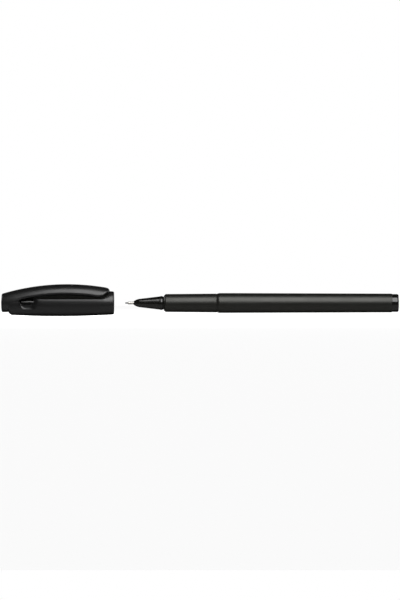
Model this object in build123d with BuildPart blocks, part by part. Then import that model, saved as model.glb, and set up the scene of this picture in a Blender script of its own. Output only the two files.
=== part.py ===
"""Fineliner pen with its cap drawn off and lying in line in front of the nib.

The pen lies along X with the nib towards -X. +Z is up and the clip is on top.
The origin is under the middle of pen and cap, on the surface that the cap lies on.
"""
import os
from math import cos, radians, sin, sqrt

from build123d import *

# Driving dimensions, in millimetres. Radii are measured from the pen axis.
# Lengths on the cap are measured from the end of its head.

# Fits and cuts
press_clearance = 0.02
slide_clearance = 0.07
seal_clearance = 0.045
cut_overrun = 2.0

# Barrel
collar_radius = 4.95
collar_length = 6.5
shoulder_step = 0.27
shoulder_ramp_length = 0.9
groove_width = 0.5
groove_depth = 0.16
seat_length = 26.7
seat_draft = 0.21
front_bevel_length = 1.1
front_bevel_height = 0.87
barrel_rear_length = 87.25
barrel_end_radius = 4.69
barrel_end_round = 0.25
rib_count = 6
rib_width = 0.6
rib_height = 0.35

# End plug
plug_head_length = 3.35
plug_head_radius = 4.45
plug_head_round = 0.8
plug_spigot_length = 8.0
plug_wall = 1.0

# Nib holder
holder_length = 15.2
holder_face_radius = 0.85
holder_nose_length = 3.0
holder_nose_radius = 2.1
holder_cone_radius = 3.3
ridge_radius = 3.48
ridge_length = 1.4
holder_neck_radius = 3.4
holder_neck_length = 0.75
holder_spigot_radius = 2.9
holder_spigot_length = 9.0
air_groove_width = 0.7
air_groove_depth = 0.35
nose_bulge_length_share = 0.4
nose_bulge_height_share = 0.58

# Nib, its tube and the reservoir
tube_radius = 0.68
tube_reach = 2.85
tube_seat_depth = 5.0
tube_lip_round = 0.18
nib_radius = 0.31
nib_reach = 1.35
nib_tip_round = 0.22
feeder_radius = 0.8
feeder_entry = 5.0
reservoir_radius = 3.0
reservoir_front_gap = 0.3
reservoir_rear_gap = 0.3
film_wall = 0.1

# Cap shell
cap_length = 56.4
cap_travel = 51.65
rim_gap = 0.05
rim_radius = 5.79
rim_round = 0.45
belly_radius = 6.6
belly_place = 28.0
shoulder_foot_radius = 4.3
shoulder_foot_place = 3.6
shoulder_radius = 6.04
shoulder_place = 6.4
shoulder_bulge_length_share = 0.3
shoulder_bulge_height_share = 0.74
sleeve_wall = 0.65
head_radius = 4.55
head_round = 0.6
head_wall = 2.0
head_core_radius = 2.2
vent_chamber_radius = 4.2
vent_chamber_wall = 0.7
vent_chamber_ramp = 0.8
bore_past_holder = 2.7
side_inset = 0.05
side_full_place = 20.0
ledge_head_height = 0.6
ledge_root_height = 0.8
ledge_height = 2.28
ledge_level_place = 18.0
recess_gap = 0.4

# Vent windows in the two sides of the cap shell: dished hollows that break through to the vent chamber
window_half_length = 5.1
window_half_height = 4.75
window_height = 1.0
window_top = 2.45
window_before_bore_end = 3.5
window_inset = 0.2
window_tilt_degrees = 15
window_depth = 2.2
opening_half_length = 3.5
opening_half_height = 3.4
opening_shift = 0.85

# Hood of the cap, a tube that grows from the head and arches over the shell. The clip is its free part.
crown_line_radius = 114.0
crown_height = 9.41
crown_place = 33.0
hood_radius = 5.75
hood_swell_power = 4
hood_station_shares = (0, 0.07, 0.16, 0.36, 0.6, 0.8, 1)

# Clip
clip_root = 8.9
clip_root_gap = 0.1
clip_wall = 1.35
clip_hollow_start = 3.0
clip_clearance = 0.25
clip_to_rim = 2.65
tongue_length = 7.0
tongue_overwidth = 0.3
clip_edge_root_height = 1.0
clip_edge_bend_height = 3.0
clip_edge_middle_height = 4.15
clip_edge_tip_height = 3.02
clip_edge_bend_share = 0.167
clip_edge_middle_share = 0.48
clip_edge_end_share = 0.9
bead_radius = 0.85
bead_width = 3.2
bead_before_tip = 4.0
bead_gap = 0.3

# Inner cap
inner_cap_nose_radius = 2.65
inner_cap_nose_wall = 0.55
inner_cap_end_wall = 0.6
inner_cap_nib_room = 0.5
inner_cap_radius = 4.2
inner_cap_flare_length = 4.0
inner_cap_mouth_gap = 0.5
inner_cap_mouth_bevel = 0.3
inner_cap_rib_count = 8
inner_cap_rib_width = 0.8

# Sizes that follow from fits
axis_height = belly_radius
seat_rear_radius = collar_radius - shoulder_step
seat_front_radius = seat_rear_radius - seat_draft
barrel_face_radius = seat_front_radius - front_bevel_height
film_bore_radius = reservoir_radius + press_clearance
film_radius = film_bore_radius + film_wall
rib_tip_radius = film_radius + press_clearance
chamber_radius = rib_tip_radius + rib_height
plug_spigot_radius = chamber_radius - press_clearance
holder_bore_radius = tube_radius + press_clearance
feeder_bore_radius = feeder_radius + press_clearance
cap_bore_radius = seat_rear_radius + slide_clearance
sleeve_radius = cap_bore_radius + sleeve_wall
vent_sleeve_radius = vent_chamber_radius + vent_chamber_wall
seal_radius = ridge_radius + seal_clearance

# Places along the pen axis, with pen and cap centred on the origin
whole_length = cap_length + cap_travel + rim_gap + barrel_rear_length + plug_head_length
plug_end_x = whole_length / 2
barrel_rear_x = plug_end_x - plug_head_length
shoulder_x = barrel_rear_x - barrel_rear_length
barrel_front_x = shoulder_x - seat_length
holder_front_x = barrel_front_x - holder_length
holder_rear_x = barrel_front_x + holder_spigot_length
tube_front_x = holder_front_x - tube_reach
tube_rear_x = holder_front_x + tube_seat_depth
nib_tip_x = tube_front_x - nib_reach
plug_front_x = barrel_rear_x - plug_spigot_length
reservoir_front_x = holder_rear_x + reservoir_front_gap
reservoir_rear_x = plug_front_x - reservoir_rear_gap
feeder_rear_x = reservoir_front_x + feeder_entry
cap_rim_x = shoulder_x - rim_gap - cap_travel
cap_head_x = cap_rim_x - cap_length

# Places inside the cap, where the front of the pen comes to stand when the cap is closed
closed_barrel_front_x = barrel_front_x - cap_travel
closed_holder_front_x = holder_front_x - cap_travel
closed_nib_tip_x = nib_tip_x - cap_travel
cap_bore_end_x = closed_holder_front_x + bore_past_holder
inner_cap_bore_x = closed_nib_tip_x - inner_cap_nib_room
inner_cap_front_x = inner_cap_bore_x - inner_cap_end_wall
vent_chamber_x = inner_cap_front_x - press_clearance
window_x = cap_bore_end_x - window_before_bore_end
foot_x = cap_head_x + shoulder_foot_place
side_full_x = cap_head_x + side_full_place
ledge_level_x = cap_head_x + ledge_level_place
clip_root_x = cap_head_x + clip_root
clip_tip_x = cap_rim_x - clip_to_rim
tongue_start_x = clip_tip_x - tongue_length
crown_x = cap_head_x + crown_place

# Shared planes and axis
pen_axis = Axis((0, 0, axis_height), (1, 0, 0))
lengthwise = Plane(origin=(0, 0, axis_height), x_dir=(1, 0, 0), z_dir=(0, -1, 0))


def square_to_axis(x):
    """The plane across the pen at x. Its own x runs along Y, its own y upwards."""
    return Plane(origin=(x, 0, axis_height), x_dir=(0, 1, 0), z_dir=(1, 0, 0))


def level(height):
    """The flat plane at a height above the pen axis."""
    return Plane.XY.offset(axis_height + height)


def hood_top(x):
    """Height of the hood's crown line above the pen axis."""
    run = x - crown_x
    return crown_height - crown_line_radius + sqrt(crown_line_radius**2 - run**2)


def hood_tube_radius(x):
    """Radius of the hood's tube, which swells from the head up to the crown."""
    left = max(crown_x - x, 0) / crown_place
    return hood_radius - (hood_radius - head_radius) * left**hood_swell_power


def hood_sections(start_x, end_x, wall):
    """Sections of the hood's tube between two places, drawn in by a wall."""
    sections = []
    for share in hood_station_shares:
        x = start_x + (end_x - start_x) * share
        radius = hood_tube_radius(x)
        with BuildSketch(square_to_axis(x)) as section:
            with Locations((0, hood_top(x) - radius)):
                Circle(radius - wall)
        sections.append(section.sketch.face())
    return sections


def sleeve_outline(room):
    """Half outline of the sleeve under the clip: wide round the bore, narrow round the vent chamber."""
    return (
        (clip_root_x - cut_overrun, 0),
        (clip_root_x - cut_overrun, vent_sleeve_radius + room),
        (cap_bore_end_x - vent_chamber_ramp, vent_sleeve_radius + room),
        (cap_bore_end_x, sleeve_radius + room),
        (cap_rim_x + cut_overrun, sleeve_radius + room),
        (cap_rim_x + cut_overrun, 0),
    )


def tongue_outline(plane, end_length, covered_radius):
    """The clip's outline from above: straight sides from the head on and a half ellipse at the tip."""
    half_width = covered_radius + tongue_overwidth
    straight = tongue_start_x - cap_head_x
    with BuildSketch(plane) as outline:
        with Locations((cap_head_x + straight / 2, 0)):
            Rectangle(straight, half_width * 2)
        with Locations((tongue_start_x, 0)):
            Ellipse(end_length, half_width)
    return outline.sketch


os.makedirs("parts", exist_ok=True)

# Barrel: one moulding with the seat of the cap, the shoulder, a tapered handle and a ribbed bore
with BuildPart() as barrel:
    with BuildSketch(lengthwise):
        with BuildLine():
            groove_front_x = shoulder_x - groove_width
            groove_middle_x = shoulder_x - groove_width / 2
            collar_x = shoulder_x + shoulder_ramp_length
            handle_x = collar_x + collar_length
            Polyline(
                (barrel_front_x, 0),
                (barrel_front_x, barrel_face_radius),
                (barrel_front_x + front_bevel_length, seat_front_radius),
                (groove_front_x, seat_rear_radius),
                (groove_middle_x, seat_rear_radius - groove_depth),
                (shoulder_x, seat_rear_radius),
                (collar_x, collar_radius),
                (handle_x, collar_radius),
                (barrel_rear_x, barrel_end_radius),
                (barrel_rear_x, 0),
                close=True,
            )
        make_face()
    revolve(axis=pen_axis)
    fillet(barrel.edges().group_by(Axis.X)[-1], barrel_end_round)
    with BuildSketch(square_to_axis(barrel_front_x)):
        Circle(holder_spigot_radius + press_clearance)
    extrude(amount=holder_spigot_length, mode=Mode.SUBTRACT)
    with BuildSketch(square_to_axis(holder_rear_x)):
        Circle(chamber_radius)
    extrude(amount=barrel_rear_x - holder_rear_x, mode=Mode.SUBTRACT)
    with BuildSketch(square_to_axis(holder_rear_x)):
        with PolarLocations(rib_tip_radius + rib_height, rib_count):
            Rectangle(rib_height * 2, rib_width)
    extrude(amount=plug_front_x - holder_rear_x)
barrel.part.label = "barrel"
export_step(barrel.part, "parts/barrel.step")

# End plug: a rounded head on the barrel's end and a hollow spigot pressed into the bore
with BuildPart() as end_plug:
    with BuildSketch(square_to_axis(barrel_rear_x)):
        Circle(plug_head_radius)
    extrude(amount=plug_head_length)
    fillet(end_plug.edges().group_by(Axis.X)[-1], plug_head_round)
    with BuildSketch(square_to_axis(barrel_rear_x)):
        Circle(plug_spigot_radius)
        Circle(plug_spigot_radius - plug_wall, mode=Mode.SUBTRACT)
    extrude(amount=-plug_spigot_length)
end_plug.part.label = "end_plug"
export_step(end_plug.part, "parts/end_plug.step")

# Nib holder: a cone with a rounded nose, the ridge that the inner cap seals on, and a pressed spigot
with BuildPart() as nib_holder:
    with BuildSketch(lengthwise):
        with BuildLine():
            nose_rear_x = holder_front_x + holder_nose_length
            neck_x = barrel_front_x - holder_neck_length
            ridge_x = neck_x - ridge_length
            nose_rise = holder_nose_radius - holder_face_radius
            nose_bulge = (
                holder_front_x + holder_nose_length * nose_bulge_length_share,
                holder_face_radius + nose_rise * nose_bulge_height_share,
            )
            Line((holder_front_x, 0), (holder_front_x, holder_face_radius))
            ThreePointArc((holder_front_x, holder_face_radius), nose_bulge, (nose_rear_x, holder_nose_radius))
            Line((nose_rear_x, holder_nose_radius), (ridge_x, holder_cone_radius))
            ThreePointArc(
                (ridge_x, holder_cone_radius),
                (ridge_x + ridge_length / 2, ridge_radius),
                (neck_x, holder_neck_radius),
            )
            Polyline(
                (neck_x, holder_neck_radius),
                (barrel_front_x, holder_neck_radius),
                (barrel_front_x, holder_spigot_radius),
                (holder_rear_x, holder_spigot_radius),
                (holder_rear_x, 0),
                (holder_front_x, 0),
            )
        make_face()
    revolve(axis=pen_axis)
    with BuildSketch(square_to_axis(holder_front_x)):
        Circle(holder_bore_radius)
    extrude(amount=tube_seat_depth, mode=Mode.SUBTRACT)
    with BuildSketch(square_to_axis(tube_rear_x)):
        Circle(feeder_bore_radius)
    extrude(amount=holder_rear_x - tube_rear_x, mode=Mode.SUBTRACT)
    with BuildSketch(square_to_axis(barrel_front_x)):
        with Locations((0, holder_spigot_radius)):
            Rectangle(air_groove_width, air_groove_depth * 2)
    extrude(amount=holder_spigot_length, mode=Mode.SUBTRACT)
nib_holder.part.label = "nib_holder"
export_step(nib_holder.part, "parts/nib_holder.step")

# Nib tube: the steel sleeve round the nib, with a rolled front lip
with BuildPart() as nib_tube:
    with BuildSketch(square_to_axis(tube_front_x)):
        Circle(tube_radius)
    extrude(amount=tube_rear_x - tube_front_x)
    fillet(nib_tube.edges().group_by(Axis.X)[0], tube_lip_round)
    with BuildSketch(square_to_axis(tube_front_x)):
        Circle(nib_radius + press_clearance)
    extrude(amount=tube_rear_x - tube_front_x, mode=Mode.SUBTRACT)
nib_tube.part.label = "nib_tube"
export_step(nib_tube.part, "parts/nib_tube.step")

# Nib: a thin fibre rod through the tube and a thicker feeder into the reservoir
with BuildPart() as nib:
    with BuildSketch(square_to_axis(nib_tip_x)):
        Circle(nib_radius)
    extrude(amount=tube_rear_x - nib_tip_x)
    fillet(nib.edges().group_by(Axis.X)[0], nib_tip_round)
    with BuildSketch(square_to_axis(tube_rear_x)):
        Circle(feeder_radius)
    extrude(amount=feeder_rear_x - tube_rear_x)
nib.part.label = "nib"
export_step(nib.part, "parts/nib.step")

# Reservoir: a fibre rod with a hole for the feeder
with BuildPart() as reservoir_core:
    with BuildSketch(square_to_axis(reservoir_front_x)):
        Circle(reservoir_radius)
    extrude(amount=reservoir_rear_x - reservoir_front_x)
    with BuildSketch(square_to_axis(reservoir_front_x)):
        Circle(feeder_bore_radius)
    extrude(amount=feeder_entry, mode=Mode.SUBTRACT)
reservoir_core.part.label = "reservoir_core"
export_step(reservoir_core.part, "parts/reservoir_core.step")

# Film wound round the reservoir
with BuildPart() as reservoir_film:
    with BuildSketch(square_to_axis(reservoir_front_x)):
        Circle(film_radius)
        Circle(film_bore_radius, mode=Mode.SUBTRACT)
    extrude(amount=reservoir_rear_x - reservoir_front_x)
reservoir_film.part.label = "reservoir_film"
export_step(reservoir_film.part, "parts/reservoir_film.step")

# The hood's whole outer form, which the cap shell and the clip share
with BuildPart() as hood_form:
    loft(hood_sections(cap_head_x, cap_rim_x, 0))

# What the clip stands over: the sleeve round the cap's bore, narrower round the vent chamber
with BuildPart() as sleeve:
    with BuildSketch(lengthwise):
        with BuildLine():
            Polyline(*sleeve_outline(0), close=True)
        make_face()
    revolve(axis=pen_axis)

# Recess in the shell: a ledge that rises from the head, and a rounded end round the clip's tip
with BuildPart() as recess:
    with BuildSketch(lengthwise):
        with BuildLine():
            Polyline(
                (foot_x, ledge_head_height),
                (clip_root_x, ledge_root_height),
                (ledge_level_x, ledge_height),
                (cap_rim_x, ledge_height),
                (cap_rim_x, crown_height),
                (foot_x, crown_height),
                close=True,
            )
        make_face()
    extrude(amount=belly_radius, both=True)
    clip_room = tongue_outline(level(0), tongue_length + recess_gap, belly_radius)
    extrude(clip_room, amount=crown_height, mode=Mode.INTERSECT)
    add(sleeve.part, mode=Mode.SUBTRACT)

# Vent windows: an oval hollow in each side, which narrows to the opening behind it and is flat on top
with BuildPart() as windows:
    tilt = radians(window_tilt_degrees)
    for side in (-1, 1):
        window_face = Plane(
            origin=(window_x, side * (belly_radius - window_inset), axis_height + window_height),
            x_dir=(1, 0, 0),
            z_dir=(0, side * cos(tilt), -sin(tilt)),
        )
        with BuildSketch(window_face):
            Ellipse(window_half_length, window_half_height)
        with BuildSketch(window_face.offset(-window_depth)) as opening:
            with Locations((-opening_shift, 0)):
                Ellipse(opening_half_length, opening_half_height)
        loft()
        extrude(opening.sketch, amount=-cut_overrun)
    split(bisect_by=level(window_top), keep=Keep.BOTTOM)

# Head of the cap: the closed start of the hood, up to the root of the clip
with BuildPart() as cap_head:
    add(hood_form.part)
    split(bisect_by=square_to_axis(clip_root_x), keep=Keep.BOTTOM)
    fillet(cap_head.edges().group_by(Axis.X)[0], head_round)

# Cap shell: a bellied tube with drawn-in sides at the head, the recess under the clip and the stepped bore
with BuildPart() as cap_shell:
    with BuildSketch(lengthwise):
        with BuildLine():
            shoulder_end_x = cap_head_x + shoulder_place
            shoulder_rise = shoulder_radius - shoulder_foot_radius
            shoulder_bulge = (
                foot_x + (shoulder_end_x - foot_x) * shoulder_bulge_length_share,
                shoulder_foot_radius + shoulder_rise * shoulder_bulge_height_share,
            )
            Line((foot_x, 0), (foot_x, shoulder_foot_radius))
            ThreePointArc((foot_x, shoulder_foot_radius), shoulder_bulge, (shoulder_end_x, shoulder_radius))
            belly = (cap_head_x + belly_place, belly_radius)
            TangentArc(belly, (shoulder_end_x, shoulder_radius), tangent=(-1, 0))
            TangentArc(belly, (cap_rim_x, rim_radius), tangent=(1, 0))
            Polyline((cap_rim_x, rim_radius), (cap_rim_x, 0), (foot_x, 0))
        make_face()
    revolve(axis=pen_axis)
    fillet(cap_shell.edges().group_by(Axis.X)[-1], rim_round)
    with BuildSketch(level(0)):
        with BuildLine():
            foot_half_width = hood_tube_radius(foot_x) - side_inset
            Polyline(
                (foot_x, -foot_half_width),
                (foot_x, foot_half_width),
                (side_full_x, belly_radius),
                (cap_rim_x, belly_radius + cut_overrun),
                (cap_rim_x, -belly_radius - cut_overrun),
                (side_full_x, -belly_radius),
                close=True,
            )
        make_face()
    extrude(amount=belly_radius, both=True, mode=Mode.INTERSECT)
    add(recess.part, mode=Mode.SUBTRACT)
    add(cap_head.part)
    with BuildSketch(lengthwise):
        with BuildLine():
            head_core_x = cap_head_x + head_wall
            Polyline(
                (head_core_x, 0),
                (head_core_x, head_core_radius),
                (vent_chamber_x, head_core_radius),
                (vent_chamber_x, vent_chamber_radius),
                (cap_bore_end_x, vent_chamber_radius),
                (cap_bore_end_x, cap_bore_radius),
                (cap_rim_x + cut_overrun, cap_bore_radius),
                (cap_rim_x + cut_overrun, 0),
                close=True,
            )
        make_face()
    revolve(axis=pen_axis, mode=Mode.SUBTRACT)
    add(windows.part, mode=Mode.SUBTRACT)
cap_shell.part.label = "cap_shell"
export_step(cap_shell.part, "parts/cap_shell.step")

# Clip: the hood's free part, hollowed, with a tongue-shaped tip and a bead that grips the cloth
with BuildPart() as clip_hollow:
    loft(hood_sections(clip_root_x + clip_hollow_start, cap_rim_x, clip_wall))

with BuildPart() as clip:
    add(hood_form.part)
    split(bisect_by=square_to_axis(clip_root_x + clip_root_gap), keep=Keep.TOP)
    with BuildSketch(lengthwise):
        with BuildLine():
            clip_length = clip_tip_x - clip_root_x
            edge_bend_x = clip_root_x + clip_length * clip_edge_bend_share
            edge_middle_x = clip_root_x + clip_length * clip_edge_middle_share
            edge_end_x = clip_root_x + clip_length * clip_edge_end_share
            edge_middle = (edge_middle_x, clip_edge_middle_height)
            ThreePointArc(
                (clip_root_x, clip_edge_root_height),
                (edge_bend_x, clip_edge_bend_height),
                edge_middle,
            )
            TangentArc(edge_middle, (edge_end_x, clip_edge_tip_height), tangent=(1, 0))
            Polyline(
                (edge_end_x, clip_edge_tip_height),
                (cap_rim_x, clip_edge_tip_height),
                (cap_rim_x, crown_height + cut_overrun),
                (clip_root_x, crown_height + cut_overrun),
                (clip_root_x, clip_edge_root_height),
            )
        make_face()
    extrude(amount=belly_radius, both=True, mode=Mode.INTERSECT)
    tongue = tongue_outline(level(0), tongue_length, hood_radius)
    extrude(tongue, amount=crown_height + cut_overrun, mode=Mode.INTERSECT)
    add(clip_hollow.part, mode=Mode.SUBTRACT)
    with BuildSketch(lengthwise):
        with Locations((clip_tip_x - bead_before_tip, sleeve_radius + bead_gap + bead_radius)):
            Circle(bead_radius)
    extrude(amount=bead_width / 2, both=True)
    with BuildSketch(lengthwise):
        with BuildLine():
            Polyline(*sleeve_outline(clip_clearance), close=True)
        make_face()
    revolve(axis=pen_axis, mode=Mode.SUBTRACT)
clip.part.label = "clip"
export_step(clip.part, "parts/clip.step")

# Inner cap: a cup that seals on the holder's ridge, with a closed nose and ribs that leave air channels
with BuildPart() as inner_cap:
    with BuildSketch(lengthwise):
        with BuildLine():
            seat_x = cap_bore_end_x + press_clearance
            mouth_x = closed_barrel_front_x - inner_cap_mouth_gap
            nose_bore_radius = inner_cap_nose_radius - inner_cap_nose_wall
            Polyline(
                (inner_cap_front_x, 0),
                (inner_cap_front_x, inner_cap_nose_radius),
                (seat_x, inner_cap_nose_radius),
                (seat_x, inner_cap_radius),
                (mouth_x, inner_cap_radius),
                (mouth_x, seal_radius + inner_cap_mouth_bevel),
                (mouth_x - inner_cap_mouth_bevel, seal_radius),
                (seat_x + inner_cap_flare_length, seal_radius),
                (seat_x, nose_bore_radius),
                (inner_cap_bore_x, nose_bore_radius),
                (inner_cap_bore_x, 0),
                close=True,
            )
        make_face()
    revolve(axis=pen_axis)
    with BuildSketch(square_to_axis(seat_x)):
        rib_rise = cap_bore_radius - press_clearance - inner_cap_radius
        with PolarLocations(inner_cap_radius, inner_cap_rib_count):
            Rectangle(rib_rise * 2, inner_cap_rib_width)
    extrude(amount=mouth_x - seat_x)
inner_cap.part.label = "inner_cap"
export_step(inner_cap.part, "parts/inner_cap.step")
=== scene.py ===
"""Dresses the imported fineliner: the turned pen, the cap with hood and clip, finishes, light and camera."""

from math import acos, asin, atan2, copysign, cos, hypot, pi, radians, sin, sqrt, tau

import bmesh
import bpy
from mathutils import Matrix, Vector
from mathutils.kdtree import KDTree


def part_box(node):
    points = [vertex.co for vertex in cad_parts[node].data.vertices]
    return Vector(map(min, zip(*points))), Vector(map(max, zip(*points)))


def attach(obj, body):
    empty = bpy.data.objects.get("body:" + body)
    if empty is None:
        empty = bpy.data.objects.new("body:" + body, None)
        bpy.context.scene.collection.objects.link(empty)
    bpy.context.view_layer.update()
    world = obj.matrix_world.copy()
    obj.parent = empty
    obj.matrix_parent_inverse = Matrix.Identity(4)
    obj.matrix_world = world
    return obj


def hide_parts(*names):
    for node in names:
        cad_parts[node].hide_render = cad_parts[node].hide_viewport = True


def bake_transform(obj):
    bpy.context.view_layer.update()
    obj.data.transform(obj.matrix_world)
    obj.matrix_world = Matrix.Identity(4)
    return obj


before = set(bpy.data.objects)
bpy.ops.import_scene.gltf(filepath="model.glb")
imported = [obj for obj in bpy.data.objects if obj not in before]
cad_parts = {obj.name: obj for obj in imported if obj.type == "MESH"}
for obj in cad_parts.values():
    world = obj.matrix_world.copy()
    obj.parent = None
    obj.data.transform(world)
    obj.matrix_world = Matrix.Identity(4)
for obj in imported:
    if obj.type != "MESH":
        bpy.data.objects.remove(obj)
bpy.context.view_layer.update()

MM = 0.001


def ends(node):
    """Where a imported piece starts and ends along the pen, in mm."""
    low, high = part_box(node)
    return low.x / MM, high.x / MM


# Places along the pen and the height of its axis, in mm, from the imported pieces
barrel_front, barrel_rear = ends("barrel")
plug_front, plug_end = ends("end_plug")
holder_front, holder_rear = ends("nib_holder")
tube_front, tube_rear = ends("nib_tube")
nib_tip, feeder_rear = ends("nib")
cap_head, cap_rim = ends("cap_shell")
inner_cap_front, inner_cap_mouth = ends("inner_cap")
axis_height = (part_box("barrel")[0].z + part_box("barrel")[1].z) / 2 / MM

# Sizes of the turned pieces, in mm. Radii are measured from the pen's axis.
collar_radius, collar_length = 4.95, 6.5
seat_rear_radius, seat_front_radius = 4.68, 4.47
shoulder_to_end, shoulder_ramp = 87.25, 0.9
groove_width, groove_depth = 0.5, 0.16
front_bevel, barrel_face_radius = 1.1, 3.6
barrel_end_radius, barrel_end_round = 4.69, 0.25
barrel_edge_round, bevel_bulge_length, bevel_bulge_radius = 0.12, 0.42, 4.12
spigot_bore_radius, chamber_radius = 2.92, 3.49

plug_radius, plug_round, plug_dome = 4.45, 0.8, 0.12
plug_spigot_radius, plug_spigot_bore = 3.47, 2.47

holder_bore_radius, holder_face_radius = 0.70, 0.85
nose_length, nose_radius = 3.0, 2.1
nose_bulge_length, nose_bulge_radius = 1.2, 1.575
cone_radius, ridge_radius, neck_radius = 3.3, 3.48, 3.4
ridge_length, neck_length, joint_groove_depth = 1.4, 0.75, 0.3
holder_spigot_radius, feeder_bore_radius = 2.9, 0.82

tube_bore_radius, tube_radius, tube_lip_round = 0.33, 0.68, 0.18
nib_radius, nib_round, feeder_radius = 0.31, 0.22, 0.8

inner_nose_radius, inner_nose_bore, inner_end_wall = 2.65, 2.1, 0.6
inner_nose_length, inner_flare_length = 8.02, 4.0
inner_radius, inner_seal_radius, inner_mouth_bevel = 4.2, 3.525, 0.3
inner_nose_round = 0.9
rib_count, rib_width, rib_rise = 8, 0.8, 0.53
rib_end_slope = 0.5

# Steps of a full turn, a rounded edge, a bulge and a dome, and the gap in mm under which two points are one
turning_steps, round_steps, bulge_steps, dome_steps = 144, 5, 10, 8
doubles_gap = 0.002

# Sizes of the cap, in mm. Lengths are measured from the end of its head, heights from the axis.
cap_length = cap_rim - cap_head
crown_radius, crown_height, crown_place = 114.0, 9.404, 33.0
hood_radius, hood_swell, hood_swell_power = 5.75, 1.2, 4
head_dome, head_round = 0.28, 0.65
slit_start, clip_root, clip_end = 5.2, 8.9, 54.3
clip_end_bow, tip_bow_start = 0.3, 51.0
clip_wall, clip_clearance = 1.35, 0.25

# The clip's lower edge as (place, height), and how it rolls under along its sides, its tip and its corners
clip_edge_heights = (
    (8.9, 1.0), (10.4, 1.75), (13.4, 2.5), (16.4, 3.0), (22.9, 3.85), (32.4, 4.22), (43.4, 3.68),
    (48.6, 3.0), (51.1, 3.55), (52.1, 4.15), (53.1, 4.9), (53.6, 5.3), (54.3, 5.85),
)
edge_roll, tip_roll, corner_roll, edge_roll_kept = 1.3, 2.0, 1.4, 0.1
edge_roll_start, edge_roll_full = 7.5, 10.0
corner_start, corner_full, corner_low_angle, corner_high_angle = 49.5, 53.0, radians(10), radians(40)
roll_power, tip_roll_power, corner_roll_power, roll_mix_power = 2.0, 2.5, 3.6, 4
bead_place, bead_height, bead_radius, bead_width, bead_steps = 49.75, 6.55, 0.85, 3.2, 32

# The hood's grid: rows over its domed end, its rounded edge and its body, and the place that each share of
# the body's rows reaches, so that they crowd towards the tip
dome_rows, round_rows, body_rows, hood_columns = 6, 8, 120, 112
hood_rows = dome_rows + round_rows + body_rows
hood_row_places = ((0, head_dome + head_round), (0.72, 51.0), (1, clip_end))

# The shell's outside
foot_place, foot_radius = 3.6, 4.3
shoulder_bulge_place, shoulder_bulge_radius = 4.44, 5.588
shoulder_place, shoulder_radius = 6.4, 6.04
belly_place, belly_radius = 28.0, 6.598
belly_head_curve, belly_rim_curve = 416.85, 498.3
rim_round_length, rim_round_height = 1.1, 0.4
foot_half_width, side_widening, side_blend = 4.93, 0.1018, 0.25
flat_side_power, round_power, flat_side_end, round_start = 2.2, 2.0, 47.0, 55.0

# The recess under the clip: its lip as (place, height), the sleeve at its bottom as (place, radius), and the
# roll of its edges
lip_heights = (
    (3.6, 0.6), (8.9, 0.75), (18.0, 1.95), (22.0, 1.95), (46.0, 1.95), (50.0, 1.95), (50.7, 2.0),
    (51.7, 2.45), (52.7, 3.15), (53.5, 4.0), (54.0, 4.9), (54.4, 6.0),
)
lip_steps = 600
sleeve_radii = ((3.6, 4.4), (8.0, 4.4), (9.3, 4.9), (16.45, 4.9), (17.25, 5.4), (56.4, 5.4))
recess_end, tip_lip_start, tip_lip_full = 54.4, 50.5, 53.0
saddle_below_clip, saddle_below_tip, saddle_end, saddle_run = 0.3, 0.45, 54.2, 1.0
lip_reach, lip_depth, recess_margin, tip_recess_margin = 0.45, 0.45, 0.1, 0.35
tip_lip_reach, tip_lip_depth, tip_lip_low, tip_lip_high, tip_lip_kept = 2.0, 0.6, 4.2, 5.4, 0.1

# The shell's inside and the blank that it is pressed from
cap_bore_radius, bore_end_place = 4.75, 17.25
vent_radius, vent_place = 4.2, 9.23
core_radius, blank_radius = 2.2, 7.0

# The shell's grid: the place that each share of its rows reaches, and where its columns turn a corner
shell_row_places = (
    (0, 3.6), (0.09, 6.4), (0.34, 20.0), (0.48, 44.0), (0.54, 50.0), (0.72, 52.5), (0.92, 55.2), (1, 56.4),
)
shell_rows, shell_columns = 200, 192
low_columns, side_columns, ledge_columns, wall_columns, saddle_columns = 40, 70, 73, 79, 83
low_angle, side_crowding, even_columns_place = radians(95), 1.6, 56.2

# The vent windows: dishes in the shell's sides, steep along their lower edge and ramped gently elsewhere
window_place, window_height, window_half_length, window_half_height = 14.0, 1.0, 4.83, 4.5
window_squareness = 3.2
opening_place, opening_half_length, opening_half_height = 12.9, 3.5, 1.95
window_top, window_depth = 2.45, 1.3
scoop_heading, scoop_low, scoop_high, scoop_power = radians(255), 0.35, 0.95, 3.0
ramp_power, ramp_start_slope = 2.0, 0.3
window_overlap_share, window_outside, window_inside = 0.15, 1.5, 2.5
dish_rows, lid_rows, window_columns = 14, 2, 96
window_rows = dish_rows + 2 * lid_rows


# Drawing tools

def between(low, high, value):
    """0 below low, 1 above high and a smooth rise in between."""
    share = min(max((value - low) / (high - low), 0), 1)
    return share * share * (3 - 2 * share)


def mixed(first, second, share):
    """The first value at share 0, the second at share 1."""
    return first + (second - first) * share


def straight_line(points, place):
    """Height at a place on a line of straight runs through (place, height) points."""
    for (x0, y0), (x1, y1) in zip(points, points[1:]):
        if place <= x1:
            return y0 + (y1 - y0) * (place - x0) / (x1 - x0)
    return points[-1][1]


def smooth_line(points, place):
    """Height at a place on a smooth line through (place, height) points."""
    slopes = []
    for i in range(len(points)):
        (x0, y0), (x1, y1) = points[max(i - 1, 0)], points[min(i + 1, len(points) - 1)]
        slopes.append((y1 - y0) / (x1 - x0))
    for (x0, y0), (x1, y1), m0, m1 in zip(points, points[1:], slopes, slopes[1:]):
        if place <= x1:
            run = x1 - x0
            t = min(max((place - x0) / run, 0), 1)
            from_start = (1 + 2 * t) * (1 - t) ** 2 * y0 + t * (1 - t) ** 2 * run * m0
            from_end = t * t * (3 - 2 * t) * y1 + t * t * (t - 1) * run * m1
            return from_start + from_end
    return points[-1][1]


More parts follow.
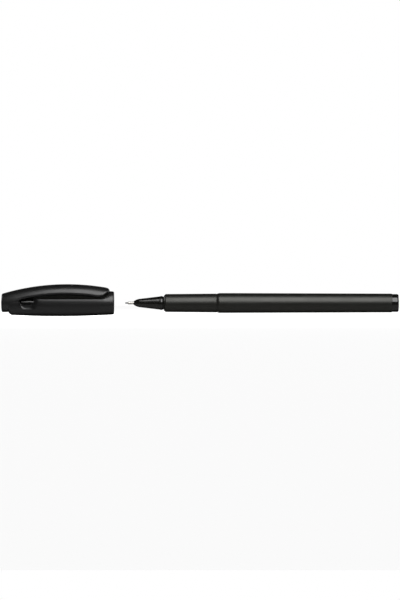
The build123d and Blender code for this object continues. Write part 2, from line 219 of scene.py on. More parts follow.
def circle_through(a, b, c):
    """Middle and radius of the circle through three points."""
    d = 2 * (a[0] * (b[1] - c[1]) + b[0] * (c[1] - a[1]) + c[0] * (a[1] - b[1]))
    squares = [p[0] ** 2 + p[1] ** 2 for p in (a, b, c)]
    x = (squares[0] * (b[1] - c[1]) + squares[1] * (c[1] - a[1]) + squares[2] * (a[1] - b[1])) / d
    y = (squares[0] * (c[0] - b[0]) + squares[1] * (a[0] - c[0]) + squares[2] * (b[0] - a[0])) / d
    return x, y, hypot(a[0] - x, a[1] - y)


def arc(a, b, c):
    """Points of an outward bulge through three (place, radius) points, evenly along the pen."""
    x, y, radius = circle_through(a, b, c)
    places = [a[0] + (c[0] - a[0]) * i / bulge_steps for i in range(bulge_steps + 1)]
    return [(place, y + sqrt(radius**2 - (place - x) ** 2)) for place in places]


def on_pen(place, side, height):
    """A point given in mm along the pen, sideways and above its axis."""
    return Vector((place, side, axis_height + height)) * MM


def on_cap(place, side, height):
    """A point given in mm from the end of the cap's head, sideways and above the axis."""
    return on_pen(cap_head + place, side, height)


def pick(test):
    """Selects the points of the edited piece that pass a test of their place in mm, and nothing else."""
    mesh = bmesh.from_edit_mesh(bpy.context.object.data)
    bpy.ops.mesh.select_all(action="DESELECT")
    for vertex in mesh.verts:
        vertex.select_set(test(vertex.co / MM))
    mesh.select_flush_mode()
    bmesh.update_edit_mesh(bpy.context.object.data)


def close_up():
    """Merges the doubles of the edited piece and turns its faces outwards."""
    bpy.ops.mesh.select_all(action="SELECT")
    bpy.ops.mesh.remove_doubles(threshold=doubles_gap * MM)
    bpy.ops.mesh.normals_make_consistent(inside=False)


def apply_modifier(piece, kind, **settings):
    """Adds a modifier with its settings and applies it."""
    bpy.ops.object.modifier_add(type=kind)
    modifier = piece.modifiers[-1]
    for name, value in settings.items():
        setattr(modifier, name, value)
    bpy.ops.object.modifier_apply(modifier=modifier.name)


def take_up(piece):
    """Selects one piece alone and makes it the one that is worked on."""
    bpy.ops.object.select_all(action="DESELECT")
    piece.select_set(True)
    bpy.context.view_layer.objects.active = piece


def draw_and_spin(name, outline, rounds=(), closed=True, cuts=(), steps=turning_steps):
    """A blank turned about the pen's axis from a chain of (place, radius) points.

    Rounds are (number of the point, round). Cuts are (numbers of the two points, extra points between them).
    """
    points = [on_pen(place, 0, radius) for place, radius in outline]
    if closed:
        points.append(points[0])
    bpy.ops.object.select_all(action="DESELECT")
    bpy.ops.mesh.primitive_plane_add(size=MM)
    piece = bpy.context.object
    piece.name = name
    bpy.ops.object.mode_set(mode="EDIT")
    bpy.ops.mesh.merge(type="CENTER")
    bpy.ops.transform.translate(value=points[0])
    for start, end in zip(points, points[1:]):
        bpy.ops.mesh.extrude_region_move(TRANSFORM_OT_translate={"value": end - start})
    bpy.ops.mesh.select_all(action="SELECT")
    bpy.ops.mesh.remove_doubles(threshold=doubles_gap * MM)
    for first, second, number in cuts:
        near = [points[first] / MM, points[second] / MM]
        pick(lambda point: min((point - end).length for end in near) < doubles_gap)
        bpy.ops.mesh.subdivide(number_cuts=number)
    for number, size in rounds:
        corner = points[number] / MM
        pick(lambda point: (point - corner).length < doubles_gap)
        bpy.ops.mesh.bevel(offset=size * MM, segments=round_steps, affect="VERTICES")
    bpy.ops.mesh.select_all(action="SELECT")
    bpy.ops.mesh.spin(steps=steps, angle=tau, center=on_pen(0, 0, 0), axis=(1, 0, 0))
    close_up()
    bpy.ops.object.mode_set(mode="OBJECT")
    return piece


def form_grid(name, rows, columns, place):
    """A grid formed by moving each point to where place(row, column) puts it, closed where points meet."""
    bpy.ops.object.select_all(action="DESELECT")
    bpy.ops.mesh.primitive_grid_add(x_subdivisions=rows, y_subdivisions=columns, size=2)
    piece = bpy.context.object
    piece.name = name
    for vertex in piece.data.vertices:
        row, column = (vertex.co.x + 1) / 2 * rows, (vertex.co.y + 1) / 2 * columns
        vertex.co = place(round(row), round(column))
    bpy.ops.object.mode_set(mode="EDIT")
    close_up()
    bpy.ops.object.mode_set(mode="OBJECT")
    return piece


def finish_piece(piece, material, body, nodes, sharp_degrees=28):
    """Smooths a piece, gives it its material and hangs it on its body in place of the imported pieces."""
    take_up(piece)
    bpy.ops.object.shade_smooth_by_angle(angle=radians(sharp_degrees))
    apply_modifier(piece, "WEIGHTED_NORMAL", keep_sharp=True)
    piece.data.materials.clear()
    piece.data.materials.append(material)
    if body:
        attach(piece, body)
    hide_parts(*nodes)


# Materials

def colour(hex_value):
    """Linear colour of an sRGB hex value."""
    shares = [int(hex_value[i:i + 2], 16) / 255 for i in (1, 3, 5)]
    return tuple(s / 12.92 if s <= 0.04045 else ((s + 0.055) / 1.055) ** 2.4 for s in shares) + (1,)


def add_node(tree, kind, settings=None, links=None):
    """Adds a node, sets its properties and inputs by name and links outputs of other nodes to its inputs."""
    node = tree.nodes.new(kind)
    for name, value in (settings or {}).items():
        if name in node.inputs:
            node.inputs[name].default_value = value
        else:
            setattr(node, name, value)
    for name, output in (links or {}).items():
        tree.links.new(output, node.inputs[name])
    return node


def per_mm(size):
    """Scale of a noise whose features are about this many mm across."""
    return 1 / (size * MM)


def start_material(name):
    """A new material, its nodes and its shader."""
    material = bpy.data.materials.new(name)
    material.use_nodes = True
    return material, material.node_tree, material.node_tree.nodes["Principled BSDF"]


# Most of a noise lies between the low and the high value. Detail counts its finer layers, and fineness says
# how strong they are.
noise_low, noise_high = 0.3, 0.7
grit_detail, grit_fineness, soft_detail = 3.0, 0.6, 2.0

# Gloss of a moulding changes over this many mm, as the plastic flowed
flow_size = 9.0
polypropylene_ior = 1.49


def moulded_plastic(
    name, hex_value, roughness, spread, grain, bump, ior=polypropylene_ior, sheen_hex="#FFFFFF"
):
    """Black moulded plastic with a grain, whose gloss varies a little over the surface."""
    material, tree, shader = start_material(name)
    shader.inputs["Base Color"].default_value = colour(hex_value)
    shader.inputs["IOR"].default_value = ior
    shader.inputs["Specular Tint"].default_value = colour(sheen_hex)
    spot = add_node(tree, "ShaderNodeTexCoord")
    grit = add_node(
        tree, "ShaderNodeTexNoise",
        {"Scale": per_mm(grain), "Detail": grit_detail, "Roughness": grit_fineness},
        {"Vector": spot.outputs["Object"]},
    )
    flow = add_node(
        tree, "ShaderNodeTexNoise", {"Scale": per_mm(flow_size), "Detail": soft_detail},
        {"Vector": spot.outputs["Object"]},
    )
    gloss = add_node(
        tree, "ShaderNodeMapRange",
        {
            "From Min": noise_low, "From Max": noise_high,
            "To Min": roughness - spread, "To Max": roughness + spread,
        },
        {"Value": flow.outputs["Fac"]},
    )
    relief = add_node(
        tree, "ShaderNodeBump", {"Strength": 1.0, "Distance": bump * MM}, {"Height": grit.outputs["Fac"]}
    )
    tree.links.new(gloss.outputs["Result"], shader.inputs["Roughness"])
    tree.links.new(relief.outputs["Normal"], shader.inputs["Normal"])
    return material


# Polypropylene from a spark-eroded mould: matt, with a fine even grit. The real grit is about 0.05 mm
# and is drawn five times coarser so that it shows. Its black is a trace warm.
matt_polypropylene = moulded_plastic(
    "matt_polypropylene_spark_eroded", "#0A0A08", roughness=0.4, spread=0.03, grain=0.25, bump=0.004,
    ior=1.45, sheen_hex="#FFFFF9",
)

# Polypropylene from a finely blasted mould: satin, softer highlights than gloss and only a trace of grain.
# The grain of about 0.04 mm is drawn coarser so that it shows.
satin_polypropylene = moulded_plastic(
    "satin_polypropylene_blasted", "#0A0A0A", roughness=0.34, spread=0.03, grain=0.3, bump=0.002, ior=1.47
)

# Polypropylene from a polished mould: sharp bright reflections, with faint sink waves one or two mm across
gloss_polypropylene = moulded_plastic(
    "gloss_polypropylene_polished", "#090908", roughness=0.13, spread=0.03, grain=1.6, bump=0.003
)


def streaks(tree, width, length):
    """Lines along the pen, of a width and length in mm: a noise drawn out lengthwise."""
    spot = add_node(tree, "ShaderNodeTexCoord")
    drawn_out = add_node(
        tree, "ShaderNodeMapping", {"Scale": (width / length, 1, 1)}, {"Vector": spot.outputs["Object"]}
    )
    return add_node(
        tree, "ShaderNodeTexNoise", {"Scale": per_mm(width), "Detail": soft_detail},
        {"Vector": drawn_out.outputs["Vector"]},
    )


def fibre(name, hex_values, roughness, strand, strand_length, bump):
    """Bundled fibres that run along the pen, each strand a little lighter or darker."""
    material, tree, shader = start_material(name)
    shader.inputs["Roughness"].default_value = roughness
    strands = streaks(tree, strand, strand_length)
    shades = add_node(tree, "ShaderNodeValToRGB", None, {"Fac": strands.outputs["Fac"]})
    for element, hex_value in zip(shades.color_ramp.elements, hex_values):
        element.color = colour(hex_value)
    relief = add_node(
        tree, "ShaderNodeBump", {"Strength": 1.0, "Distance": bump * MM}, {"Height": strands.outputs["Fac"]}
    )
    tree.links.new(shades.outputs["Color"], shader.inputs["Base Color"])
    tree.links.new(relief.outputs["Normal"], shader.inputs["Normal"])
    return material


# Acrylic fibre bonded to a rod and soaked with black ink: nearly black, with fine strands along it. The real
# strands are about 0.02 mm across and are drawn four times coarser so that they show.
inked_fibre = fibre(
    "acrylic_fibre_bonded_ink_soaked", ("#050505", "#141416"), roughness=0.55,
    strand=0.08, strand_length=1.2, bump=0.01,
)

# Polyester fibre drawn to a rod, grey where the ink has wetted it. Its strands of about 0.02 mm are drawn six
# times coarser so that they show.
reservoir_fibre = fibre(
    "polyester_fibre_drawn_ink_wetted", ("#17171A", "#3A3A40"), roughness=0.7,
    strand=0.12, strand_length=4.0, bump=0.02,
)


def drawn_steel(smoothest, roughest, line, line_length, bump):
    """Stainless steel with fine lines along the tube."""
    material, tree, shader = start_material("stainless_steel_drawn")
    shader.inputs["Base Color"].default_value = colour("#D6D3CE")
    shader.inputs["Metallic"].default_value = 1.0
    lines = streaks(tree, line, line_length)
    gloss = add_node(
        tree, "ShaderNodeMapRange",
        {"From Min": noise_low, "From Max": noise_high, "To Min": smoothest, "To Max": roughest},
        {"Value": lines.outputs["Fac"]},
    )
    relief = add_node(
        tree, "ShaderNodeBump", {"Strength": 1.0, "Distance": bump * MM}, {"Height": lines.outputs["Fac"]}
    )
    tree.links.new(gloss.outputs["Result"], shader.inputs["Roughness"])
    tree.links.new(relief.outputs["Normal"], shader.inputs["Normal"])
    return material


# Stainless steel drawn through a die: bright, with soft grey lines along it. The die's lines of about 0.01 mm
# are drawn six times coarser so that they show.
steel = drawn_steel(smoothest=0.5, roughest=0.62, line=0.06, line_length=3.0, bump=0.002)


def clear_film(smoothest, roughest, clearness, wave):
    """Clear plastic film with waves in its gloss."""
    material, tree, shader = start_material("polypropylene_film_blown")
    shader.inputs["Base Color"].default_value = colour("#F2F2F0")
    shader.inputs["Transmission Weight"].default_value = clearness
    shader.inputs["IOR"].default_value = polypropylene_ior
    spot = add_node(tree, "ShaderNodeTexCoord")
    waves = add_node(tree, "ShaderNodeTexNoise", {"Scale": per_mm(wave)}, {"Vector": spot.outputs["Object"]})
    gloss = add_node(
        tree, "ShaderNodeMapRange", {"To Min": smoothest, "To Max": roughest}, {"Value": waves.outputs["Fac"]}
    )
    tree.links.new(gloss.outputs["Result"], shader.inputs["Roughness"])
    return material


# Polypropylene film blown thin: clear, with faint waves from winding, a few millimetres wide
film = clear_film(smoothest=0.08, roughest=0.2, clearness=0.9, wave=2.5)

# Pen

shoulder = barrel_rear - shoulder_to_end
collar = shoulder + shoulder_ramp
bevel = arc(
    (barrel_front, barrel_face_radius),
    (barrel_front + bevel_bulge_length, bevel_bulge_radius),
    (barrel_front + front_bevel, seat_front_radius),
)
barrel = draw_and_spin("pen_barrel", bevel + [
    (shoulder - groove_width, seat_rear_radius),
    (shoulder - groove_width / 2, seat_rear_radius - groove_depth),
    (shoulder, seat_rear_radius),
    (collar, collar_radius),
    (collar + collar_length, collar_radius),
    (barrel_rear, barrel_end_radius),
    (barrel_rear, chamber_radius),
    (holder_rear, chamber_radius),
    (holder_rear, spigot_bore_radius),
    (barrel_front, spigot_bore_radius),
], rounds=((len(bevel) + 3, barrel_edge_round), (len(bevel) + 5, barrel_end_round)))
finish_piece(barrel, matt_polypropylene, "pen", ["barrel"])

plug_edge = plug_end - plug_dome
dome_curve = (plug_dome**2 + plug_radius**2) / (2 * plug_dome)
dome = []
for step in range(dome_steps):
    radius = plug_radius * step / dome_steps
    dome.append((plug_end - dome_curve + sqrt(dome_curve**2 - radius**2), radius))
end_plug = draw_and_spin("barrel_end_plug", dome + [
    (plug_edge, plug_radius),
    (barrel_rear, plug_radius),
    (barrel_rear, plug_spigot_radius),
    (plug_front, plug_spigot_radius),
    (plug_front, plug_spigot_bore),
    (barrel_rear, plug_spigot_bore),
    (barrel_rear, 0),
], rounds=((dome_steps, plug_round),), closed=False)
finish_piece(end_plug, gloss_polypropylene, "pen", ["end_plug"])

neck = barrel_front - neck_length
ridge = neck - ridge_length
nose = arc(
    (holder_front, holder_face_radius),
    (holder_front + nose_bulge_length, nose_bulge_radius),
    (holder_front + nose_length, nose_radius),
)
sealing_ridge = arc((ridge, cone_radius), (ridge + ridge_length / 2, ridge_radius), (neck, neck_radius))
nib_holder = draw_and_spin("nib_holder_cone", [(holder_front, holder_bore_radius)] + nose + sealing_ridge + [
    (barrel_front - neck_length / 2, neck_radius - joint_groove_depth),
    (barrel_front, neck_radius),
    (barrel_front, holder_spigot_radius),
    (holder_rear, holder_spigot_radius),
    (holder_rear, feeder_bore_radius),
    (tube_rear, feeder_bore_radius),
    (tube_rear, holder_bore_radius),
])
finish_piece(nib_holder, gloss_polypropylene, "pen", ["nib_holder"])

nib_tube = draw_and_spin("nib_steel_tube", [
    (tube_front, tube_bore_radius),
    (tube_front, tube_radius),
    (tube_rear, tube_radius),
    (tube_rear, tube_bore_radius),
], rounds=((1, tube_lip_round),))
finish_piece(nib_tube, steel, "pen", ["nib_tube"])

nib = draw_and_spin("fibre_nib", [
    (nib_tip, 0),
    (nib_tip, nib_radius),
    (tube_rear, nib_radius),
    (tube_rear, feeder_radius),
    (feeder_rear, feeder_radius),
    (feeder_rear, 0),
], rounds=((1, nib_round),), closed=False)
finish_piece(nib, inked_fibre, "pen", ["nib"])

for node, material in (("reservoir_core", reservoir_fibre), ("reservoir_film", film)):
    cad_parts[node].data.materials.clear()
    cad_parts[node].data.materials.append(material)

# Inner cap: a turned cup with ribs pulled out of its wall

inner_seat = inner_cap_front + inner_nose_length
inner_cap = draw_and_spin("inner_cap_cup", [
    (inner_cap_front, 0),
    (inner_cap_front, inner_nose_radius),
    (inner_seat, inner_nose_radius),
    (inner_seat, inner_radius),
    (inner_cap_mouth, inner_radius),
    (inner_cap_mouth, inner_seal_radius + inner_mouth_bevel),
    (inner_cap_mouth - inner_mouth_bevel, inner_seal_radius),
    (inner_seat + inner_flare_length, inner_seal_radius),
    (inner_seat, inner_nose_bore),
    (inner_cap_front + inner_end_wall, inner_nose_bore),
    (inner_cap_front + inner_end_wall, 0),
], rounds=((1, inner_nose_round),), closed=False)
bpy.ops.object.mode_set(mode="EDIT")
bpy.ops.mesh.select_mode(type="FACE")
cup = bmesh.from_edit_mesh(inner_cap.data)
bpy.ops.mesh.select_all(action="DESELECT")
for face in cup.faces:
    middle = face.calc_center_median() / MM - Vector((0, 0, axis_height))
    turn = atan2(middle.y, middle.z) % (tau / rib_count)
    off_rib = min(turn, tau / rib_count - turn) * inner_radius
    outside = hypot(middle.y, middle.z) > inner_radius - inner_mouth_bevel / 2
    on_wall = outside and abs(face.normal.x) < rib_end_slope
    face.select_set(on_wall and off_rib < rib_width / 2)
bmesh.update_edit_mesh(inner_cap.data)
bpy.ops.mesh.extrude_region_shrink_fatten(TRANSFORM_OT_shrink_fatten={"value": rib_rise * MM})
bpy.ops.mesh.select_mode(type="VERT")
bpy.ops.object.mode_set(mode="OBJECT")
finish_piece(inner_cap, gloss_polypropylene, "cap", ["inner_cap"])


# Cap shell: a turned blank, pressed into the bellied form with the ledge and the recess under the clip

def shell_radius(u):
    """Height of the shell's underside below the axis."""
    if u < shoulder_place:
        x, y, radius = circle_through(
            (foot_place, foot_radius),
            (shoulder_bulge_place, shoulder_bulge_radius),
            (shoulder_place, shoulder_radius),
        )
        return y + sqrt(radius**2 - (u - x) ** 2)
    curve = belly_head_curve if u < belly_place else belly_rim_curve
    height = belly_radius - curve + sqrt(curve**2 - (u - belly_place) ** 2)
    over_rim = max(u - cap_length + rim_round_length, 0) / rim_round_length
    return height - rim_round_height * (1 - sqrt(1 - min(over_rim, 1) ** 2))


def shell_half_width(u):
    """Half the shell's width: drawn in at the head, round from the belly on."""
    drawn_in = foot_half_width + side_widening * (u - foot_place)
    full = shell_radius(u)
    mix = min(max(0.5 + 0.5 * (full - drawn_in) / side_blend, 0), 1)
    return drawn_in * mix + full * (1 - mix) - side_blend * mix * (1 - mix)


def section_power(u):
    """How square the shell's section is: flattened sides along the belly, a circle at the rim."""
    return mixed(flat_side_power, round_power, between(flat_side_end, round_start, u))


def lip_angle(u):
    """Angle from the shell's underside up to the lip of the recess. Half a turn where the shell is closed."""
    rise = smooth_line(lip_heights, u) / shell_radius(u)
    return pi if rise >= 1 else pi / 2 + asin(rise ** (section_power(u) / 2))


def side_point(u, angle):
    """Point (sideways, height) on the shell's side at an angle from its underside."""
    share = 2 / section_power(u)
    height = shell_radius(u) * abs(cos(angle)) ** share
    return shell_half_width(u) * abs(sin(angle)) ** share, -height if angle < pi / 2 else height


lip = KDTree(2 * lip_steps)
for step in range(lip_steps):
    u = foot_place + (recess_end - foot_place) * step / lip_steps
    side, height = side_point(u, lip_angle(u))
    lip.insert((u, side, height), 2 * step)
    lip.insert((u, -side, height), 2 * step + 1)
lip.balance()


def rolled_side_point(u, angle):
    """The same point drawn in where the side rolls over into the recess."""
    side, height = side_point(u, angle)
    at_tip = between(tip_lip_start, tip_lip_full, u)
    reach = mixed(lip_reach, tip_lip_reach, at_tip)
    depth = mixed(lip_depth, tip_lip_depth, at_tip)
    depth *= 1 - between(tip_lip_low, tip_lip_high, height)
    near = 1 - min((lip.find((u, side, height))[2] + tip_lip_kept * at_tip) / reach, 1)
    sink = depth * (1 - sqrt(1 - near**2))
    rise = section_power(u) - 1
    across, along = shell_half_width(u), shell_radius(u)
    outwards = Vector(((side / across) ** rise / across, (abs(height) / along) ** rise / along)).normalized()
    outwards.y *= -1 if height < 0 else 1
    return side - sink * outwards.x, height - sink * outwards.y


def shell_point(u, column):
    """Point (sideways, height) of the shell's section in a column, counted from its underside to its top."""
    end = lip_angle(u)
    top_column = shell_columns / 2
    if column <= low_columns:
        angle = low_angle * column / low_columns
    else:
        share = 1 - (max(side_columns - column, 0) / (side_columns - low_columns)) ** side_crowding
        angle = mixed(low_angle, end, share)
    angle += (pi * column / top_column - angle) * between(recess_end, even_columns_place, u)
    side, height = rolled_side_point(u, angle)
    if column < side_columns or end == pi:
        return side, height
    sleeve = straight_line(sleeve_radii, u)
    at_lip = Vector((side, height))
    at_sleeve = at_lip.normalized() * sleeve
    upright = 1 - between(saddle_end - saddle_run, saddle_end, u)
    at_tip = between(corner_start, corner_full, u)
    wall_top = smooth_line(clip_edge_heights, u) - mixed(saddle_below_clip, saddle_below_tip, at_tip)
    if u < clip_root or wall_top < height:
        upright = 0
    wall_foot = at_sleeve.lerp(Vector((sqrt(sleeve**2 - min(height, sleeve) ** 2), height)), upright)
    wall_head = wall_foot + Vector((0, (wall_top - height) * upright))
    saddle_edge = wall_head.normalized() * sleeve
    path = (at_lip, wall_foot, wall_head, saddle_edge)
    corners = (side_columns, ledge_columns, wall_columns, saddle_columns)
    for start, end, low, high in zip(path, path[1:], corners, corners[1:]):
        if column < high:
            return tuple(start.lerp(end, (column - low) / (high - low)))
    from_top = atan2(saddle_edge.x, saddle_edge.y) * (top_column - column) / (top_column - saddle_columns)
    return sleeve * sin(from_top), sleeve * cos(from_top)


cap_shell = draw_and_spin("cap_shell_moulding", [
    (cap_head + foot_place, core_radius),
    (cap_head + foot_place, blank_radius),
    (cap_rim, blank_radius),
    (cap_rim, cap_bore_radius),
    (cap_head + bore_end_place, cap_bore_radius),
    (cap_head + bore_end_place, vent_radius),
    (cap_head + vent_place, vent_radius),
    (cap_head + vent_place, core_radius),
], cuts=((1, 2, shell_rows - 1),), steps=shell_columns)
for vertex in cap_shell.data.vertices:
    place, side, height = vertex.co / MM - Vector((cap_head, 0, axis_height))
    if hypot(side, height) < blank_radius - doubles_gap:
        continue
    u = straight_line(shell_row_places, (place - foot_place) / (cap_length - foot_place))
    new_side, new_height = shell_point(u, round(abs(atan2(side, -height)) / tau * shell_columns))
    vertex.co = on_cap(u, new_side if side > 0 else -new_side, new_height)
bpy.ops.object.mode_set(mode="EDIT")
close_up()
bpy.ops.object.mode_set(mode="OBJECT")


def window_point(row, column, facing):
    """Point of a cutter that dishes the shell's side and breaks through at the bottom of the dish.

    Its rows run from a lid outside the shell, through the dish, to a lid inside the shell.
    """
    share = min((row - lid_rows) / dish_rows, 1) if row > lid_rows else -window_overlap_share
    turn = tau * column / window_columns
    scooped = between(scoop_low, scoop_high, cos(turn - scoop_heading))
    scoop = 1 - (1 - share) ** scoop_power
    ramp = max(share, 0) ** ramp_power + ramp_start_slope * min(share, 0)
    depth = window_depth * (scoop * scooped + ramp * (1 - scooped))
    if row < lid_rows:
        depth = -window_outside
    elif row > dish_rows + lid_rows:
        depth = window_depth + window_inside
    reach = 0 if row in (0, window_rows) else 1
    across, up = (copysign(abs(part) ** (2 / window_squareness), part) for part in (cos(turn), sin(turn)))
    u = mixed(window_place, opening_place, share)
    u += reach * across * mixed(window_half_length, opening_half_length, share)
    height = reach * up * mixed(window_half_height, opening_half_height, share)
    height = min(window_height + height, window_top)
    power = section_power(u)
    surface = shell_half_width(u) * (1 - (abs(height) / shell_radius(u)) ** power) ** (1 / power)
    return on_cap(u, facing * (surface - depth), height)


for facing in (-1, 1):
    cutter = form_grid(
        "window_cutter", window_rows, window_columns, lambda row, column: window_point(row, column, facing)
    )
    take_up(cap_shell)
    apply_modifier(cap_shell, "BOOLEAN", operation="DIFFERENCE", solver="EXACT", object=cutter)
    bpy.data.objects.remove(cutter)
finish_piece(cap_shell, satin_polypropylene, "cap", ["cap_shell"], sharp_degrees=16)

# The mould was polished in the recess, so its sleeve and walls are glossy
cap_shell.data.materials.append(gloss_polypropylene)
for face in cap_shell.data.polygons:
    place, side, height = face.center / MM - Vector((cap_head, 0, axis_height))
    sleeve = straight_line(sleeve_radii, place)
    ledge = min(smooth_line(lip_heights, place), foot_radius)
    bore = cap_bore_radius if place > bore_end_place else vent_radius
    from_axis = hypot(side, height)
    margin = mixed(recess_margin, tip_recess_margin, between(tip_lip_start, tip_lip_full, place))
    in_recess = place < recess_end and from_axis > bore + recess_margin and height > ledge - margin
    on_sleeve = from_axis < sleeve + recess_margin
    on_wall = abs(side) < sqrt(sleeve**2 - ledge**2) + margin and place < saddle_end
    if in_recess and (on_sleeve or on_wall):
        face.material_index = 1


# Hood: the closed head of the cap, which opens into the clip over the shell

def hood_tube(u):
    """Radius of the hood's tube and height of its middle."""
    top = crown_height - crown_radius + sqrt(crown_radius**2 - (u - crown_place) ** 2)
    radius = hood_radius - hood_swell * (max(crown_place - u, 0) / crown_place) ** hood_swell_power
    return radius, top - radius


def hood_opening(u):
    """Angle from the hood's top down to its edge."""
    if u <= slit_start:
        return pi
    at = max(u, clip_root)
    radius, middle = hood_tube(at)
    edge = acos((smooth_line(clip_edge_heights, at) - middle) / radius)
    return mixed(pi, edge, between(slit_start, clip_root, u)) if u < clip_root else edge


def hood_spot(row, column):
    """Place along the hood, share of its tube's radius and angle from its top, at a row and column."""
    start = head_dome + head_round
    full = hood_tube(start)[0]
    if row <= dome_rows:
        share = row / dome_rows
        u, reach = head_dome * share**2, share * (full - head_round) / full
    elif row <= dome_rows + round_rows:
        turn = pi / 2 * (row - dome_rows) / round_rows
        u, reach = start - head_round * cos(turn), 1 - head_round * (1 - sin(turn)) / full
    else:
        u, reach = straight_line(hood_row_places, (row - dome_rows - round_rows) / body_rows), 1
    angle = hood_opening(u) * (2 * column / hood_columns - 1)
    bow = clip_end_bow * between(tip_bow_start, clip_end, u) * (angle / hood_opening(clip_end)) ** 2
    return u - bow, reach, angle


def hood_point(u, reach, angle):
    """Point of the hood at a place, a share of its tube's radius and an angle from its top."""
    radius, middle = hood_tube(u)
    return Vector((u, reach * radius * sin(angle), middle + reach * radius * cos(angle)))


def edge_finder(spots):
    """A finder of the nearest of some spots on the hood's edge."""
    finder = KDTree(len(spots))
    for number, spot in enumerate(spots):
        finder.insert(hood_point(*spot), number)
    finder.balance()
    return finder


side_spots = [hood_spot(row, column) for row in range(hood_rows + 1) for column in (0, hood_columns)]
side_edge = edge_finder([spot for spot in side_spots if spot[0] > slit_start])
end_edge = edge_finder([hood_spot(hood_rows, column) for column in range(hood_columns + 1)])


def rolled_hood_point(row, column):
    """A point of the hood, drawn in where its edge rolls under."""
    u, reach, angle = hood_spot(row, column)
    point = hood_point(u, reach, angle)
    at_tip = between(corner_start, corner_full, u)
    at_corner = between(corner_low_angle, corner_high_angle, abs(angle))
    side_roll = mixed(edge_roll, corner_roll, at_tip)
    end_roll = mixed(tip_roll, corner_roll, at_corner)
    near_side = 1 - min((side_edge.find(point)[2] + edge_roll_kept * (1 - at_tip)) / side_roll, 1)
    near_end = 1 - min(end_edge.find(point)[2] / end_roll, 1)
    near = min((near_side**roll_mix_power + near_end**roll_mix_power) ** (1 / roll_mix_power), 1)
    both = near_side + near_end
    roll = (side_roll * near_side + end_roll * near_end) / both if both else side_roll
    power = mixed(roll_power, mixed(tip_roll_power, corner_roll_power, at_corner), at_tip)
    sink = roll * (1 - (1 - near**power) ** (1 / power)) * between(edge_roll_start, edge_roll_full, u)
    return on_cap(point.x, point.y - sink * sin(angle), point.z - sink * cos(angle))


hood = form_grid("cap_hood_and_clip", hood_rows, hood_columns, rolled_hood_point)
apply_modifier(hood, "SOLIDIFY", thickness=clip_wall * MM, offset=-1)
for vertex in hood.data.vertices:
    place, side, height = vertex.co / MM - Vector((cap_head, 0, axis_height))
    clear = straight_line(sleeve_radii, place) + clip_clearance
    from_axis = hypot(side, height)
    if place > clip_root and from_axis < clear:
        vertex.co = on_cap(place, side * clear / from_axis, height * clear / from_axis)

bpy.ops.object.select_all(action="DESELECT")
bpy.ops.mesh.primitive_cylinder_add(
    vertices=bead_steps, radius=bead_radius * MM, depth=bead_width * MM,
    location=on_cap(bead_place, 0, bead_height), rotation=(pi / 2, 0, 0),
)
bead = bpy.context.object
bpy.ops.object.transform_apply(location=True, rotation=True, scale=True)
take_up(hood)
apply_modifier(hood, "BOOLEAN", operation="UNION", solver="EXACT", object=bead)
bpy.data.objects.remove(bead)
finish_piece(hood, satin_polypropylene, None, ["clip"], sharp_degrees=32)
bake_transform(hood)

# Studio, in metres: a pale floor, one large softbox on the camera's side and two weaker ones behind

floor_size, floor_roughness = 6.0, 0.9
# Painted glow of the floor round the pen, which hides its shadow: strength, and where it starts and ends
# fading, in metres
painted_floor_glow, glow_start, glow_end = 0.5, 0.15, 0.4
key_distance, key_elevation, key_x = 0.5, radians(44), 0.055
key_width, key_height, key_power = 0.39, 0.5, 3.7
rear_x, rear_y, rear_z, rear_size, rear_power = 0.6, 0.25, 0.25, 0.3, 1.5

bpy.ops.object.select_all(action="DESELECT")
bpy.ops.mesh.primitive_plane_add(size=floor_size)
floor = bpy.context.object
floor.name = "studio_floor"

# White floor with a painted glow: it emits light round the pen, washing out the pen's shadow on it, and the
# glow fades outwards
painted_glow_floor, floor_tree, floor_shader = start_material("white_floor_with_painted_glow")
floor_shader.inputs["Base Color"].default_value = colour("#F4F4F4")
floor_shader.inputs["Roughness"].default_value = floor_roughness
floor_shader.inputs["Specular IOR Level"].default_value = 0.0
floor_shader.inputs["Emission Color"].default_value = colour("#FFFFFF")
floor_spot = add_node(floor_tree, "ShaderNodeTexCoord")
floor_distance = add_node(
    floor_tree, "ShaderNodeVectorMath", {"operation": "LENGTH"}, {0: floor_spot.outputs["Object"]}
)
fading_painted_glow = add_node(
    floor_tree, "ShaderNodeMapRange",
    {"From Min": glow_start, "From Max": glow_end, "To Min": painted_floor_glow, "To Max": 0.0},
    {"Value": floor_distance.outputs["Value"]},
)
floor_tree.links.new(fading_painted_glow.outputs["Result"], floor_shader.inputs["Emission Strength"])
floor.data.materials.append(painted_glow_floor)
floor.visible_glossy = False


def softbox(name, place, width, height, power):
    """A soft area light that faces the pen."""
    bpy.ops.object.light_add(type="AREA", location=place)
    light = bpy.context.object
    light.name = name
    light.data.shape = "RECTANGLE"
    light.data.size, light.data.size_y = width, height
    light.data.energy = power
    light.rotation_euler = (on_pen(0, 0, 0) - Vector(place)).to_track_quat("-Z", "Y").to_euler()
    light.visible_camera = False


key_place = (key_x, -key_distance * cos(key_elevation), key_distance * sin(key_elevation))
softbox("key_softbox", key_place, key_width, key_height, key_power)
for name, x in (("rear_left_softbox", -rear_x), ("rear_right_softbox", rear_x)):
    softbox(name, (x, rear_y, rear_z), rear_size, rear_size, rear_power)

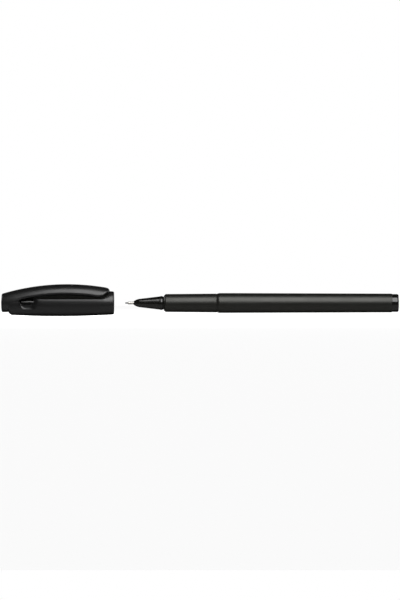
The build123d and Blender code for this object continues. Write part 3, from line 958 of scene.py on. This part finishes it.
# Surround: a white room, of which gloss mirrors only the lit table, low down and on the camera's side
room_strength, backdrop_strength, table_strength = 1.05, 1.0, 0.34
table_low, table_high, table_front, table_back = -0.5, -0.3, -0.1, 0.5
world = bpy.data.worlds.new("studio_surround")
bpy.context.scene.world = world
world.use_nodes = True
surround = world.node_tree
path = add_node(surround, "ShaderNodeLightPath")
heading = add_node(surround, "ShaderNodeTexCoord")
parts = add_node(surround, "ShaderNodeSeparateXYZ", None, {"Vector": heading.outputs["Generated"]})
table_glow = add_node(
    surround, "ShaderNodeMapRange",
    {"From Min": table_low, "From Max": table_high, "To Min": table_strength, "To Max": 0.0},
    {"Value": parts.outputs["Z"]},
)
front_share = add_node(
    surround, "ShaderNodeMapRange",
    {"From Min": table_front, "From Max": table_back, "To Min": 1.0, "To Max": 0.0},
    {"Value": parts.outputs["Y"]},
)
front_glow = add_node(
    surround, "ShaderNodeMath", {"operation": "MULTIPLY"},
    {0: table_glow.outputs["Result"], 1: front_share.outputs["Result"]},
)
room_light = add_node(
    surround, "ShaderNodeMapRange", {"To Min": room_strength, "To Max": backdrop_strength},
    {"Value": path.outputs["Is Camera Ray"]},
)
strength = add_node(
    surround, "ShaderNodeMapRange", None,
    {
        "Value": path.outputs["Is Glossy Ray"],
        "To Min": room_light.outputs["Result"],
        "To Max": front_glow.outputs["Value"],
    },
)
surround.links.new(strength.outputs["Result"], surround.nodes["Background"].inputs["Strength"])
surround.nodes["Background"].inputs["Color"].default_value = colour("#FFFFFF")

# Camera: level with the pen, far off with a long lens, framing 300 mm of height in the 400 by 600 image.
# Its place along the pen and its height above the axis are in mm.

lens, sensor, framed_height = 200.0, 36.0, 0.3
camera_place, camera_rise = 0.05, 1.5
bpy.ops.object.camera_add(
    location=on_pen(camera_place, 0, camera_rise) - Vector((0, framed_height * lens / sensor, 0)),
    rotation=(pi / 2, 0, 0),
)
camera = bpy.context.object
camera.data.lens = lens
camera.data.sensor_width = sensor
bpy.context.scene.camera = camera
bpy.context.scene.view_settings.view_transform = "Standard"
